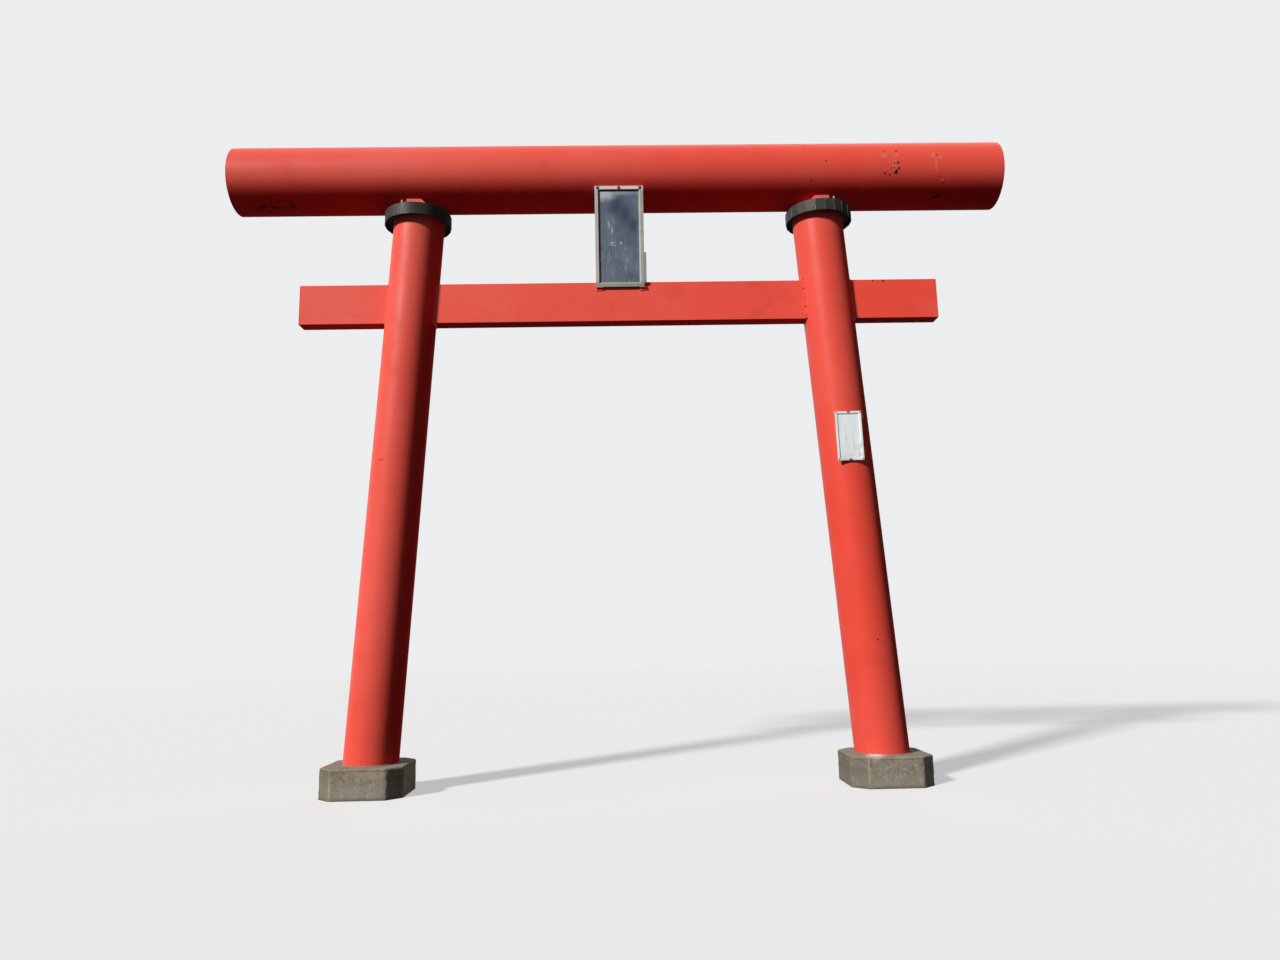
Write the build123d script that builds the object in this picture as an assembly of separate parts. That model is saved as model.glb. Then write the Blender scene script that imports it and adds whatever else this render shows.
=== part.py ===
from build123d import *
import math
import os

# Steel torii gate on two concrete footings, in millimetres.
# The ground is z = 0 and the origin is midway between the two columns.
# +X runs along the lintel to the viewer's right, -Y is the side with the tablet.

# Clearance between pieces that fit into or onto each other
FIT = 0.3

# Columns: steel pipes that lean towards each other
COLUMN_DIAMETER = 609.6
COLUMN_WALL = 9.5
COLUMN_SPREAD_AT_GROUND = 5790.0
COLUMN_LEAN_PER_METRE = 63.6

# Concrete footings with cut corners
FOOTING_WIDTH = 920.0
FOOTING_DEPTH = 920.0
FOOTING_HEIGHT = 330.0
FOOTING_CORNER_CUT = 160.0
FOOTING_EDGE_BEVEL = 12.0
SOCKET_FLOOR = 100.0

# Level collars near the column heads, made of flat facets
COLLAR_TOP_HEIGHT = 6842.0
COLLAR_OUTWARD_OFFSET = 19.0
COLLAR_ACROSS_FLATS = 796.0
COLLAR_HEIGHT = 145.0
COLLAR_FACETS = 22
COLLAR_WALL = 16.0
COLLAR_TOP_PLATE = 16.0
COLLAR_SOFFIT_PLATE = 9.0
COLLAR_SOFFIT_RECESS = 40.0

# Tie beam, a closed box that passes through a slot in each column
TIE_TOP_BELOW_COLLAR = 925.0
TIE_OVERHANG = 1332.0
TIE_HEIGHT = 490.0
TIE_THICKNESS = 200.0
TIE_WALL = 9.0
TIE_CAP_THICKNESS = 9.0

# Lintel, a straight steel pipe with flat end caps
LINTEL_DIAMETER = 812.8
LINTEL_WALL = 9.5
LINTEL_OVERHANG = 2280.0
LINTEL_CAP_THICKNESS = 9.0

# Saddle blocks between collar and lintel, upright outside and sloped inside
SADDLE_TOP_WIDTH = 170.0
SADDLE_OUTER_REACH = 98.0
SADDLE_TOE = 130.0
SADDLE_DEPTH = 450.0
SADDLE_GAP = 61.0

# Bolts that stand on the collar beside the saddle
COLLAR_BOLT_DIAMETER = 24.0
COLLAR_BOLT_HEAD_WIDTH = 40.0
COLLAR_BOLT_HEAD_HEIGHT = 16.0
COLLAR_BOLT_LENGTH = 60.0
COLLAR_BOLT_SIDE_GAP = 30.0
COLLAR_BOLT_PITCH = 640.0

# Tablet that hangs in front of the lintel and the tie beam
TABLET_WIDTH = 588.0
TABLET_HEIGHT = 1217.0
TABLET_DEPTH = 32.0
TABLET_TIE_OVERLAP = 64.0
TABLET_TIE_GAP = 2.0
TABLET_LINTEL_GAP = 6.0
TABLET_FRAME_WIDTH = 58.0
TABLET_FRAME_BEVEL = 18.0
TABLET_PANEL_THICKNESS = 8.0
TABLET_BACKBOARD_THICKNESS = 6.0
TABLET_SCREW_DIAMETER = 26.0
TABLET_SCREW_HEIGHT = 5.0
TABLET_SCREW_TOP_INSET = 22.0
TABLET_SCREW_SIDE_INSET = 38.0
SIDE_STRIP_LENGTH = 355.0
SIDE_STRIP_WIDTH = 28.0
SIDE_STRIP_THICKNESS = 26.0
SIDE_STRIP_BOTTOM = 60.0

# Brackets that carry the tablet
SHELF_BRACKET_WIDTH = 84.0
SHELF_BRACKET_THICKNESS = 8.0
SHELF_BRACKET_LEG = 46.0
HANGER_WIDTH = 90.0
HANGER_HEIGHT = 70.0
HANGER_TOP_DROP = 12.0
HANGER_SPACING = 340.0
HANGER_REACH = 160.0

# Blank white plate that hangs upright on the right column
PLATE_WIDTH = 307.0
PLATE_HEIGHT = 583.0
PLATE_THICKNESS = 4.0
PLATE_RIM_WIDTH = 26.0
PLATE_RIM_DEPTH = 12.0
PLATE_CENTRE_HEIGHT = 3919.0
PLATE_INWARD_OFFSET = 13.0
PLATE_LEAN_DEGREES = 1.0
PLATE_STANDOFF = 12.0
PLATE_CLEAT_WIDTH = 200.0
PLATE_CLEAT_HEIGHT = 40.0
PLATE_CLEAT_PITCH = 400.0
PLATE_CLEAT_REACH = 50.0
PLATE_SCREW_DIAMETER = 14.0
PLATE_SCREW_HEIGHT = 4.0

# Sizes that follow from the ones above
COLUMN_RADIUS = COLUMN_DIAMETER / 2
LINTEL_RADIUS = LINTEL_DIAMETER / 2
LEAN = COLUMN_LEAN_PER_METRE / 1000
LEAN_DEGREES = math.degrees(math.atan(LEAN))
SIDES = {"left": -1, "right": 1}
STANDING = (Align.CENTER, Align.CENTER, Align.MIN)


def column_axis_x(side, height):
    return side * (COLUMN_SPREAD_AT_GROUND / 2 - LEAN * height)


TIE_TOP_HEIGHT = COLLAR_TOP_HEIGHT - TIE_TOP_BELOW_COLLAR
TIE_MIDDLE_HEIGHT = TIE_TOP_HEIGHT - TIE_HEIGHT / 2
TIE_LENGTH = 2 * (column_axis_x(1, TIE_MIDDLE_HEIGHT) + TIE_OVERHANG)
COLUMN_HEAD_HEIGHT = COLLAR_TOP_HEIGHT - COLLAR_TOP_PLATE
LINTEL_AXIS_HEIGHT = COLLAR_TOP_HEIGHT + SADDLE_GAP + LINTEL_RADIUS
LINTEL_LENGTH = 2 * (column_axis_x(1, LINTEL_AXIS_HEIGHT) + LINTEL_OVERHANG)
TABLET_BACK_Y = -TIE_THICKNESS / 2 - TABLET_TIE_GAP
TABLET_BOTTOM_HEIGHT = TIE_TOP_HEIGHT - TABLET_TIE_OVERLAP


def tablet_tilt():
    """Forward lean, in radians, that brings the tablet's top back edge close to the lintel."""
    rise = LINTEL_AXIS_HEIGHT - TABLET_BOTTOM_HEIGHT
    reach = math.hypot(TABLET_BACK_Y, rise)
    clear = LINTEL_RADIUS + TABLET_LINTEL_GAP
    opening = (reach**2 + TABLET_HEIGHT**2 - clear**2) / (2 * reach * TABLET_HEIGHT)
    return math.acos(opening) + math.atan2(TABLET_BACK_Y, rise)


TABLET_TILT = tablet_tilt()


def column_frame(side, height):
    """Plane on the column's axis at this height, square to the axis, with y to the back."""
    axis = Vector(-side * LEAN, 0, 1)
    origin = Vector(column_axis_x(side, height), 0, height)
    return Plane(origin=origin, x_dir=Vector(1, 0, side * LEAN), z_dir=axis)


def column(side):
    """Leaning pipe from the floor of its socket to a level head, slotted for the tie beam."""
    length = (COLUMN_HEAD_HEIGHT + COLUMN_RADIUS - SOCKET_FLOOR) * math.hypot(1, LEAN)
    outer = Cylinder(COLUMN_RADIUS, length, align=STANDING)
    inner = Cylinder(COLUMN_RADIUS - COLUMN_WALL, length, align=STANDING)
    pipe = column_frame(side, SOCKET_FLOOR) * (outer - inner)
    slot = Box(TIE_LENGTH, TIE_THICKNESS + 2 * FIT, TIE_HEIGHT + 2 * FIT)
    pipe -= Pos(0, 0, TIE_MIDDLE_HEIGHT) * slot
    return split(pipe, Plane.XY.offset(COLUMN_HEAD_HEIGHT), keep=Keep.BOTTOM)


def footing(side):
    """Concrete block with cut corners and a leaning socket for the column's foot."""
    block = Box(FOOTING_WIDTH, FOOTING_DEPTH, FOOTING_HEIGHT, align=STANDING)
    block = chamfer(block.edges().filter_by(Axis.Z), FOOTING_CORNER_CUT)
    block = chamfer(block.faces().sort_by(Axis.Z)[-1].edges(), FOOTING_EDGE_BEVEL)
    block = Pos(column_axis_x(side, 0), 0, 0) * block
    hole = Cylinder(COLUMN_RADIUS + FIT, FOOTING_HEIGHT, align=STANDING)
    return block - column_frame(side, SOCKET_FLOOR) * hole


def tie_beam():
    inner_width = TIE_THICKNESS - 2 * TIE_WALL
    inner_height = TIE_HEIGHT - 2 * TIE_WALL
    length = TIE_LENGTH - 2 * TIE_CAP_THICKNESS
    tube = Box(length, TIE_THICKNESS, TIE_HEIGHT) - Box(length, inner_width, inner_height)
    return Pos(0, 0, TIE_MIDDLE_HEIGHT) * tube


def tie_cap(side):
    x = side * (TIE_LENGTH - TIE_CAP_THICKNESS) / 2
    return Pos(x, 0, TIE_MIDDLE_HEIGHT) * Box(TIE_CAP_THICKNESS, TIE_THICKNESS, TIE_HEIGHT)


def lintel_cylinder(radius, length):
    return Pos(0, 0, LINTEL_AXIS_HEIGHT) * (Rot(0, 90, 0) * Cylinder(radius, length))


def lintel_pipe():
    length = LINTEL_LENGTH - 2 * LINTEL_CAP_THICKNESS
    outer = lintel_cylinder(LINTEL_RADIUS, length)
    return outer - lintel_cylinder(LINTEL_RADIUS - LINTEL_WALL, length)


def lintel_cap(side):
    x = side * (LINTEL_LENGTH - LINTEL_CAP_THICKNESS) / 2
    return Pos(x, 0, 0) * lintel_cylinder(LINTEL_RADIUS, LINTEL_CAP_THICKNESS)


def facet_prism(across_flats, height):
    """Many-sided prism standing on z = 0, with one of its edges at the back."""
    profile = RegularPolygon(across_flats / 2, COLLAR_FACETS, major_radius=False, rotation=90)
    return extrude(profile, height)


def on_collar(side, height):
    """Place on the collar's upright centre line at this height."""
    middle = COLLAR_TOP_HEIGHT - COLLAR_HEIGHT / 2
    x = column_axis_x(side, middle) + side * COLLAR_OUTWARD_OFFSET
    return Pos(x, 0, height)


def collar_band(side):
    outer = facet_prism(COLLAR_ACROSS_FLATS, COLLAR_HEIGHT)
    inner = facet_prism(COLLAR_ACROSS_FLATS - 2 * COLLAR_WALL, COLLAR_HEIGHT)
    return on_collar(side, COLLAR_TOP_HEIGHT - COLLAR_HEIGHT) * (outer - inner)


def collar_top_plate(side):
    plate = facet_prism(COLLAR_ACROSS_FLATS - 2 * COLLAR_WALL - 2 * FIT, COLLAR_TOP_PLATE)
    return on_collar(side, COLUMN_HEAD_HEIGHT) * plate


def collar_soffit(side):
    """Plate inside the band, a little above its lower edge, with a hole for the column."""
    plate = facet_prism(COLLAR_ACROSS_FLATS - 2 * COLLAR_WALL - 2 * FIT, COLLAR_SOFFIT_PLATE)
    bottom = COLLAR_TOP_HEIGHT - COLLAR_HEIGHT + COLLAR_SOFFIT_RECESS
    hole = column_frame(side, bottom) * Cylinder(COLUMN_RADIUS + FIT, COLLAR_HEIGHT)
    return on_collar(side, bottom) * plate - hole


def saddle(side):
    """Block on the collar with a sloped toe inside, coped to the underside of the lintel."""
    top = SADDLE_GAP + LINTEL_RADIUS / 2
    outer = side * SADDLE_OUTER_REACH
    inner = outer - side * SADDLE_TOP_WIDTH
    profile = [(outer, 0), (inner - side * SADDLE_TOE, 0), (inner, SADDLE_TOE), (inner, top), (outer, top)]
    section = Plane.XZ * Polygon(*profile, align=None)
    block = extrude(section, SADDLE_DEPTH / 2, both=True)
    block = on_collar(side, COLLAR_TOP_HEIGHT) * block
    return block - lintel_cylinder(LINTEL_RADIUS + FIT, LINTEL_LENGTH)


def hex_bolt(head_width, head_height, diameter, length):
    """Hexagon nut on a projecting thread, standing on z = 0."""
    head = extrude(RegularPolygon(head_width / 2, 6, major_radius=False), head_height)
    shank = Cylinder(diameter / 2, length, align=STANDING)
    return head + shank


def collar_bolts(side):
    x = side * (SADDLE_OUTER_REACH + COLLAR_BOLT_SIDE_GAP)
    bolts = []
    for end in (-1, 1):
        bolt = hex_bolt(
            COLLAR_BOLT_HEAD_WIDTH,
            COLLAR_BOLT_HEAD_HEIGHT,
            COLLAR_BOLT_DIAMETER,
            COLLAR_BOLT_LENGTH,
        )
        place = Pos(x, end * COLLAR_BOLT_PITCH / 2, 0)
        bolts.append(on_collar(side, COLLAR_TOP_HEIGHT) * (place * bolt))
    return Compound(children=bolts)


def tablet_frame():
    """Plane at the middle of the tablet's lower back edge: x right, y back, z up the tablet."""
    up = Vector(0, -math.sin(TABLET_TILT), math.cos(TABLET_TILT))
    origin = Vector(0, TABLET_BACK_Y, TABLET_BOTTOM_HEIGHT)
    return Plane(origin=origin, x_dir=Vector(1, 0, 0), z_dir=up)


def tablet_block(width, depth, height, x=0, front=0, bottom=0):
    """Block set back by 'front' from the tablet's front face, in the tablet's tilted frame."""
    y = -TABLET_DEPTH + front
    block = Pos(x, y, bottom) * Box(
        width, depth, height, align=(Align.CENTER, Align.MIN, Align.MIN)
    )
    return tablet_frame() * block


def tablet_bevel():
    """Pocket that narrows from the frame's face down to the panel, for the sloping inner edge."""
    flat = TABLET_FRAME_WIDTH - TABLET_FRAME_BEVEL
    centre = Vector(0, -TABLET_DEPTH, TABLET_HEIGHT / 2)
    face = Plane(origin=centre, x_dir=Vector(1, 0, 0), z_dir=Vector(0, 1, 0))
    mouth = face * Rectangle(TABLET_WIDTH - 2 * flat, TABLET_HEIGHT - 2 * flat)
    return tablet_frame() * extrude(mouth, TABLET_FRAME_BEVEL, taper=45)


def tablet_stile(side):
    x = side * (TABLET_WIDTH - TABLET_FRAME_WIDTH) / 2
    return tablet_block(TABLET_FRAME_WIDTH, TABLET_DEPTH, TABLET_HEIGHT, x=x) - tablet_bevel()


def tablet_rail(bottom):
    width = TABLET_WIDTH - 2 * TABLET_FRAME_WIDTH
    bar = tablet_block(width, TABLET_DEPTH, TABLET_FRAME_WIDTH, bottom=bottom)
    return bar - tablet_bevel()


def tablet_sheet(thickness, front):
    width = TABLET_WIDTH - 2 * TABLET_FRAME_WIDTH - 2 * FIT
    height = TABLET_HEIGHT - 2 * TABLET_FRAME_WIDTH - 2 * FIT
    return tablet_block(width, thickness, height, front=front, bottom=TABLET_FRAME_WIDTH + FIT)


def screw_head(diameter, height):
    """Flat round head that stands out to the front, towards -Y."""
    return Rot(90, 0, 0) * Cylinder(diameter / 2, height, align=STANDING)


def tablet_screws():
    z = TABLET_HEIGHT - TABLET_SCREW_TOP_INSET
    reach = TABLET_WIDTH / 2 - TABLET_SCREW_SIDE_INSET
    screws = []
    for x in (-reach, 0, reach):
        head = screw_head(TABLET_SCREW_DIAMETER, TABLET_SCREW_HEIGHT)
        screws.append(tablet_frame() * (Pos(x, -TABLET_DEPTH, z) * head))
    return Compound(children=screws)


def tablet_side_strip():
    x = (TABLET_WIDTH + SIDE_STRIP_THICKNESS) / 2
    return tablet_block(
        SIDE_STRIP_THICKNESS,
        SIDE_STRIP_WIDTH,
        SIDE_STRIP_LENGTH,
        x=x,
        bottom=SIDE_STRIP_BOTTOM,
    )


def shelf_bracket(side):
    """Angle bracket: a leg on the tie beam's front face and a shelf under the tablet."""
    outer = TABLET_WIDTH / 2 + (SIDE_STRIP_THICKNESS if side > 0 else 0)
    centre_x = side * (outer - SHELF_BRACKET_WIDTH / 2)
    slope = math.tan(TABLET_TILT)
    face_y = -TIE_THICKNESS / 2
    leg_y = face_y - SHELF_BRACKET_THICKNESS
    front_y = TABLET_BACK_Y - TABLET_DEPTH * math.cos(TABLET_TILT)

    def shelf_top(y):
        return TABLET_BOTTOM_HEIGHT + (y - TABLET_BACK_Y) * slope

    profile = [
        (face_y, shelf_top(face_y)),
        (front_y, shelf_top(front_y)),
        (front_y, shelf_top(front_y) - SHELF_BRACKET_THICKNESS),
        (leg_y, shelf_top(leg_y) - SHELF_BRACKET_THICKNESS),
        (leg_y, shelf_top(face_y) - SHELF_BRACKET_LEG),
        (face_y, shelf_top(face_y) - SHELF_BRACKET_LEG),
    ]
    section = Plane.YZ * Polygon(*profile, align=None)
    return Pos(centre_x - SHELF_BRACKET_WIDTH / 2, 0, 0) * extrude(section, SHELF_BRACKET_WIDTH)


def tablet_hangers():
    """Two blocks on the tablet's back, coped to the lintel's lower front."""
    hangers = []
    for end in (-1, 1):
        block = tablet_block(
            HANGER_WIDTH,
            HANGER_REACH,
            HANGER_HEIGHT,
            x=end * HANGER_SPACING / 2,
            front=TABLET_DEPTH,
            bottom=TABLET_HEIGHT - HANGER_TOP_DROP - HANGER_HEIGHT,
        )
        hangers.append(block - lintel_cylinder(LINTEL_RADIUS + FIT, LINTEL_LENGTH))
    return hangers


def plate_frame():
    """Place of the plate's centre, nearly upright in front of the right column."""
    x = column_axis_x(SIDES["right"], PLATE_CENTRE_HEIGHT) - PLATE_INWARD_OFFSET
    place = Pos(x, -COLUMN_RADIUS - PLATE_STANDOFF, PLATE_CENTRE_HEIGHT)
    return place * Rot(0, -PLATE_LEAN_DEGREES, 0)


def name_plate():
    """Flat sheet with a raised rim round a shallow field."""
    on_sheet = (Align.CENTER, Align.MAX, Align.CENTER)
    block = Box(PLATE_WIDTH, PLATE_THICKNESS + PLATE_RIM_DEPTH, PLATE_HEIGHT, align=on_sheet)
    field = Box(
        PLATE_WIDTH - 2 * PLATE_RIM_WIDTH,
        PLATE_RIM_DEPTH,
        PLATE_HEIGHT - 2 * PLATE_RIM_WIDTH,
        align=on_sheet,
    )
    return plate_frame() * (block - Pos(0, -PLATE_THICKNESS, 0) * field)


def name_plate_cleats():
    """Two packing strips between the plate and the round column, coped to the pipe."""
    cleats = []
    pipe = Cylinder(COLUMN_RADIUS + FIT, 2 * PLATE_HEIGHT)
    clear = column_frame(SIDES["right"], PLATE_CENTRE_HEIGHT) * pipe
    for end in (-1, 1):
        block = Pos(0, 0, end * PLATE_CLEAT_PITCH / 2) * Box(
            PLATE_CLEAT_WIDTH,
            PLATE_CLEAT_REACH,
            PLATE_CLEAT_HEIGHT,
            align=(Align.CENTER, Align.MIN, Align.CENTER),
        )
        cleats.append(plate_frame() * block - clear)
    return Compound(children=cleats)


def name_plate_screws():
    screws = []
    front = -PLATE_THICKNESS - PLATE_RIM_DEPTH
    z = (PLATE_HEIGHT - PLATE_RIM_WIDTH) / 2
    reach = (PLATE_WIDTH - PLATE_RIM_WIDTH) / 2
    for x in (-reach, 0, reach):
        for level in (-z, z):
            head = screw_head(PLATE_SCREW_DIAMETER, PLATE_SCREW_HEIGHT)
            screws.append(plate_frame() * (Pos(x, front, level) * head))
    return Compound(children=screws)


parts = {}
for name, side in SIDES.items():
    parts[f"{name}_footing"] = footing(side)
    parts[f"{name}_column"] = column(side)
    parts[f"{name}_collar_band"] = collar_band(side)
    parts[f"{name}_collar_top_plate"] = collar_top_plate(side)
    parts[f"{name}_collar_soffit"] = collar_soffit(side)
    parts[f"{name}_saddle"] = saddle(side)
    parts[f"{name}_collar_bolts"] = collar_bolts(side)
    parts[f"{name}_tie_beam_cap"] = tie_cap(side)
    parts[f"{name}_lintel_cap"] = lintel_cap(side)
    parts[f"tablet_{name}_stile"] = tablet_stile(side)
    parts[f"tablet_{name}_shelf_bracket"] = shelf_bracket(side)
parts["tie_beam"] = tie_beam()
parts["lintel_pipe"] = lintel_pipe()
parts["tablet_top_rail"] = tablet_rail(TABLET_HEIGHT - TABLET_FRAME_WIDTH)
parts["tablet_bottom_rail"] = tablet_rail(0)
parts["tablet_panel"] = tablet_sheet(TABLET_PANEL_THICKNESS, TABLET_FRAME_BEVEL)
parts["tablet_backboard"] = tablet_sheet(
    TABLET_BACKBOARD_THICKNESS, TABLET_DEPTH - TABLET_BACKBOARD_THICKNESS
)
parts["tablet_screws"] = tablet_screws()
parts["tablet_side_strip"] = tablet_side_strip()
for name, hanger in zip(SIDES, tablet_hangers()):
    parts[f"tablet_{name}_hanger"] = hanger
parts["name_plate"] = name_plate()
parts["name_plate_cleats"] = name_plate_cleats()
parts["name_plate_screws"] = name_plate_screws()

os.makedirs("parts", exist_ok=True)
for name, shape in parts.items():
    export_step(shape, f"parts/{name}.step")
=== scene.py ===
import math

import bmesh
import bpy
from mathutils import Matrix, Vector, noise


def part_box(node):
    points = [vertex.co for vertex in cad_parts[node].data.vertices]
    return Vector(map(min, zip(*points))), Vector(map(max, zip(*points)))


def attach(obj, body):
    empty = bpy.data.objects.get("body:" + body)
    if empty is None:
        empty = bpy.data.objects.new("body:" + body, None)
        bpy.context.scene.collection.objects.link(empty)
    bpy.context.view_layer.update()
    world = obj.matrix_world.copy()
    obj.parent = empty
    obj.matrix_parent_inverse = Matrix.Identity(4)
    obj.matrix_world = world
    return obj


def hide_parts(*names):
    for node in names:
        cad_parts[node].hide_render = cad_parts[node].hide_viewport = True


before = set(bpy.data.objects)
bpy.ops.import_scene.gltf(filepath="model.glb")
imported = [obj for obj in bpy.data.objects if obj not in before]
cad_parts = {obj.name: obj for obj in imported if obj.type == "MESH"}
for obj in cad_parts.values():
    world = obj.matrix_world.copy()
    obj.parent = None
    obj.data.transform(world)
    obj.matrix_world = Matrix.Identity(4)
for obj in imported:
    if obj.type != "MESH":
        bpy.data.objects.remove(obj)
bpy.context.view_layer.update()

# Looks of the torii gate. Metres, z up, the tablet side faces -Y.

SIDES = {"left": -1, "right": 1}

# Camera at the photograph's viewing angle
EYE = Vector((-0.031, -10.573, 1.709))
CAMERA_YAW = 0.02143
CAMERA_PITCH = 0.16695
CAMERA_ROLL = -0.01948
SENSOR_WIDTH = 36.0
LENS = 25.49

# Light: one broad soft lamp from the left front, one weak lamp behind, and the world
KEY_AZIMUTH = -46.0
KEY_ELEVATION = 32.0
KEY_ANGLE = 7.0
KEY_POWER = 3.88
LAMP_COLOUR = (1.0, 0.97, 0.93)
BACK_AZIMUTH = 150.0
BACK_ELEVATION = 50.0
BACK_ANGLE = 40.0
BACK_POWER = 0.25
FILL_COLOUR = (0.86, 0.93, 1.0)
FILL_STRENGTH = 0.075
PALE = (0.84, 0.85, 0.86)

# Floor
FLOOR_RADIUS = 60.0
FLOOR_SEGMENTS = 96
FLOOR_FADE_START = 15.0
FLOOR_FADE_END = 46.0
FLOOR_BOUNCE = (0.07, 0.07, 0.07)
FLOOR_SEEN = (0.475, 0.48, 0.485)
FLOOR_GLOW = 0.53

# Collars: the left one's facets are rounded off, and few of its seams are worn
COLLAR_FACETS = 22
COLLAR_SHARP = {"left": 20.0, "right": 10.0}
WORN_SEAMS = {"left": (0, 4, 9, 17), "right": range(COLLAR_FACETS)}
SEAM_RADIUS = 0.003
SEAM_SPACING = 0.012

# Copies of the CAD nodes: making flat faces whole again, and rounding edges
MERGE_DISTANCE = 1e-5
FLAT_ANGLE = 0.6
ROUNDING_SEGMENTS = 3

# Weld beads and grout
BEAD_SIDES = 8
TIE_WELD_RADIUS = 0.008
TIE_WELD_SPACING = 0.007
SADDLE_WELD_RADIUS = 0.006
SADDLE_WELD_SPACING = 0.008
SADDLE_WELD_STEPS = 60
COLLAR_WELD_RADIUS = 0.005
LINTEL_WELD_RADIUS = 0.0035
LINTEL_WELD_SINK = 1.4
GROUT_RADIUS = 0.008
GROUT_STANDOFF = 0.002
LUMPS_PER_METRE = 55
FINE_LUMPS_PER_METRE = 160

# Bolts on the collars; a spread is a share of the plain bolt's radius to its corners
WASHER_HEIGHT = 0.004
WASHER_SPREAD = 0.98
WASHER_SIDES = 36
NUT_HEIGHT = 0.016
NUT_CHAMFER = 0.10 * NUT_HEIGHT
NUT_SPREAD = 0.86
NUT_FOOT_SPREAD = 0.80
NUT_TOP_SPREAD = 0.78
STUD_RADIUS = 0.012
STUD_SIDES = 24
THREAD_PITCH = 0.003
THREAD_DEPTH = 0.0012

# Footings: cells of the mesh, and what wear takes off the faces and edges
VOXEL = 0.011
EDGE_WEAR = 0.020
FACE_LOSS = 0.0008
PITTING = 0.0020
PITTING_SCALE = 14
PITTING_GRAIN = (0.9, 2.1, 4)
CHIP_LEAST = 0.002
CHIP_MOST = 0.022
CHIP_SCALE = 11
FINE_CHIP_SCALE = 37
FINE_CHIP_SHARE = 0.25
CHIP_FREE = 0.12

# Painted shadow line below the footings' top, painted arris highlights, painted sunlit patch
SHADOW_LINE_DROP = 0.022
SHADOW_LINE_WIDTH = 0.012
ARRIS_WIDTH = 0.010
SUNLIT_PATCH_TURN = -28.0
SUNLIT_PATCH_RADIUS = 0.15

# Direction of the key lamp, from which painted light and shade on the paints are worked out
KEY_LIGHT_SIDE = (-0.50, -0.45, 0.74)

# Marks on the lintel: metres to the right of its middle, degrees above its front, radius
LINTEL_PITS = [
    (3.245, 19.5, 0.012),
    (3.395, 20.2, 0.012),
    (3.406, -3.1, 0.019),
    (3.357, -3.6, 0.012),
    (3.412, -13.3, 0.019),
    (3.355, -11.7, 0.012),
    (3.319, -12.5, 0.012),
    (3.378, -20.6, 0.024),
    (3.384, -17.8, 0.020),
    (3.303, -23.7, 0.015),
    (3.243, -21.5, 0.014),
    (3.882, 12.1, 0.012),
    (3.916, 8.9, 0.008),
    (2.521, 1.0, 0.011),
    (2.339, -32.6, 0.012),
    (1.072, -37.6, 0.012),
    (0.744, -38.9, 0.010),
    (1.866, -38.6, 0.010),
]
LINTEL_BLISTERS = [
    (3.251, 10.6, 0.062),
    (3.397, 11.3, 0.040),
    (3.372, -12.5, 0.062),
    (3.368, -3.5, 0.040),
    (3.851, 10.6, 0.052),
    (3.936, 6.0, 0.044),
    (3.960, -34.6, 0.030),
]
LINTEL_STAINS = [
    (3.936, -60.2, 0.030),
    (3.891, -63.2, 0.024),
    (4.078, -64.1, 0.022),
    (-4.430, -78.0, 0.026),
    (-4.356, -72.4, 0.034),
    (-4.317, -69.0, 0.024),
    (-4.235, -71.0, 0.030),
    (-4.201, -73.4, 0.034),
    (-4.102, -74.1, 0.030),
    (-3.988, -67.5, 0.022),
    (-3.981, -72.6, 0.034),
]
LINTEL_DRIPS = [(3.872, -8.0, 0.026)]

# Marks on the tie beam's front: metres to the right, share of its height from the top, radius
TIE_PITS = [(3.091, 0.035, 0.012), (3.218, 0.035, 0.012), (3.224, 0.06, 0.010)]
TIE_DRIPS = [(0.237, 0.28, 0.014)]

# Marks on the columns: height, degrees from the front towards the viewer's right, radius
LEFT_COLUMN_PITS = [(2.703, -50.0, 0.012)]
LEFT_COLUMN_SCUFFS = [
    (3.729, -27.0, 0.026),
    (3.735, -20.0, 0.020),
    (3.690, -38.0, 0.016),
    (3.990, -30.0, 0.016),
]
RIGHT_COLUMN_PITS = [(1.579, 5.0, 0.010)]

# Rust on the right column's inner weld: share of the tie beam's height from the top, radius
WELD_RUST = [
    (-0.03, 0.011),
    (0.09, 0.008),
    (0.22, 0.013),
    (0.35, 0.009),
    (0.47, 0.012),
    (0.58, 0.008),
    (0.69, 0.013),
    (0.92, 0.011),
    (1.0, 0.014),
]

# Marks on the tablet's panel: shares of its width and height from the upper left corner, then
# a radius: a share of its width in the first four lists, metres in the others
PANEL_CLOUDS = [(0.44, 0.17, 0.35), (0.64, 0.24, 0.30), (0.86, 0.38, 0.24)]
PANEL_DARK_CORNER = [(0.80, 0.95, 0.26)]
PANEL_PALE_CORNER = [(0.10, 0.03, 0.36)]
PANEL_WISPS = [(0.24, 0.36, 0.24), (0.70, 0.70, 0.20), (0.32, 0.86, 0.14), (0.64, 0.85, 0.12)]
PANEL_STREAKS = [(0.31, 0.43, 0.016), (0.23, 0.37, 0.018), (0.35, 0.32, 0.014)]
PANEL_SCRATCHES = [(0.33, 0.565, 0.009), (0.29, 0.583, 0.008), (0.36, 0.60, 0.008)]
PANEL_DOT = [(0.53, 0.57, 0.026)]
# Painted shadow of the frame along the panel's left and top edges
PANEL_SHADOW_FADE = 0.012
PANEL_SHADOW_WIDTH = 0.004

# Stain round a screw of the name plate
PLATE_STAIN_RADIUS = 0.026

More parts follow.
